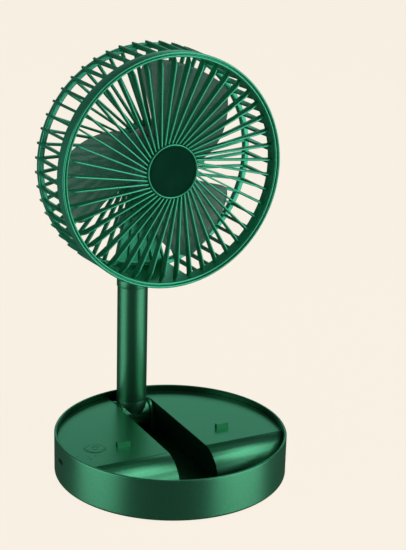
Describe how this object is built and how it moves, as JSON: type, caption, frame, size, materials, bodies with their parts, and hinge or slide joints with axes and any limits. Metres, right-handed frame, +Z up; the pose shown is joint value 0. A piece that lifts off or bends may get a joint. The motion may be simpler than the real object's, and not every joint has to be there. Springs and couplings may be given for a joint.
{
  "type": "desk fan",
  "caption": "Folding desk fan with a round base, a telescoping pole that folds into a trench in the base, and a tilting caged head with swept blades.",
  "frame": {"origin": "centre of the base's footprint, on the table plane under the rubber feet", "axes": "+Z up along the standing pole, -Y the way the fan blows, +X to the fan's left as it faces you"},
  "size_m": [0.178, 0.178, 0.3226],
  "materials": {
    "body_green": "satin metallic green, fine sparkle",
    "deck_green": "satin metallic green",
    "tube_green": "satin metallic green, brushed along the tube",
    "grille_green": "satin metallic green, lighter on the edges",
    "button_green": "satin metallic green with a pressed symbol",
    "hub_gloss": "deep gloss green disc with a fine ring",
    "blade_smoke": "smoky grey-green, slightly see-through",
    "steel": "turned steel",
    "zinc": "zinc-plated",
    "rubber": "matte black",
    "plate_dark": "fine-grained dark green",
    "black_plastic": "matte black",
    "cell_wrap": "shrink-wrapped battery cell",
    "pcb": "solder-mask green",
    "lens": "milky light pipe",
    "motor_iron": "laminated core"
  },
  "bodies": {
    "base": {"base_shell": "body_green", "top_deck": "deck_green", "bottom_plate": "plate_dark", "rubber_feet": "rubber", "bottom_screws": "zinc", "battery_cell_left": "cell_wrap", "battery_cell_right": "cell_wrap", "battery_holder_left": "black_plastic", "battery_holder_right": "black_plastic", "control_board": "pcb", "usb_socket": "steel", "power_switch": "black_plastic", "indicator_lights": "lens", "hinge_bracket_left": "body_green", "hinge_bracket_right": "body_green", "fold_pin": "steel", "fold_washers": "zinc"},
    "power_button": {"power_button": "button_green"},
    "pole_outer": {"outer_tube": "tube_green", "pole_foot": "tube_green", "tube_collar": "tube_green", "guide_bush": "black_plastic"},
    "pole_inner": {"inner_tube": "tube_green", "slide_bush": "black_plastic", "neck_knuckle": "tube_green"},
    "head": {"front_grille": "grille_green", "hub_badge": "hub_gloss", "rear_cage": "grille_green", "arm_bracket": "body_green", "arm_screws": "zinc", "tilt_pin": "steel", "tilt_washers": "zinc", "tilt_nut": "zinc", "motor_mount": "zinc", "motor_stator": "motor_iron", "motor_bearings": "steel"},
    "rotor": {"impeller": "blade_smoke", "rotor_can": "steel", "motor_shaft": "steel"}
  },
  "joints": [
    {"name": "pole_fold", "type": "hinge", "parent": "base", "child": "pole_outer", "pos_m": [0, 0.073, 0.0175], "axis": [1, 0, 0], "range_deg": [0, 90]},
    {"name": "telescope", "type": "slide", "parent": "pole_outer", "child": "pole_inner", "axis": [0, 0, 1], "range_m": [-0.03372, 0]},
    {"name": "head_tilt", "type": "hinge", "parent": "pole_inner", "child": "head", "pos_m": [0, 0.073, 0.1792], "axis": [1, 0, 0], "range_deg": [-180.02, 0]},
    {"name": "rotor_spin", "type": "hinge", "parent": "head", "child": "rotor", "pos_m": [0, 0.03, 0.2342], "axis": [0, -1, 0], "continuous": true},
    {"name": "button_press", "type": "slide", "parent": "base", "child": "power_button", "axis": [0, 0, -1], "range_m": [0, 0.0008], "stiffness_N_per_m": 600, "springref_m": -0.0005}
  ],
  "couplings": [
    {"joint": "telescope", "follows": "pole_fold", "m_per_rad": -0.021454},
    {"joint": "head_tilt", "follows": "pole_fold", "ratio": -2}
  ]
}
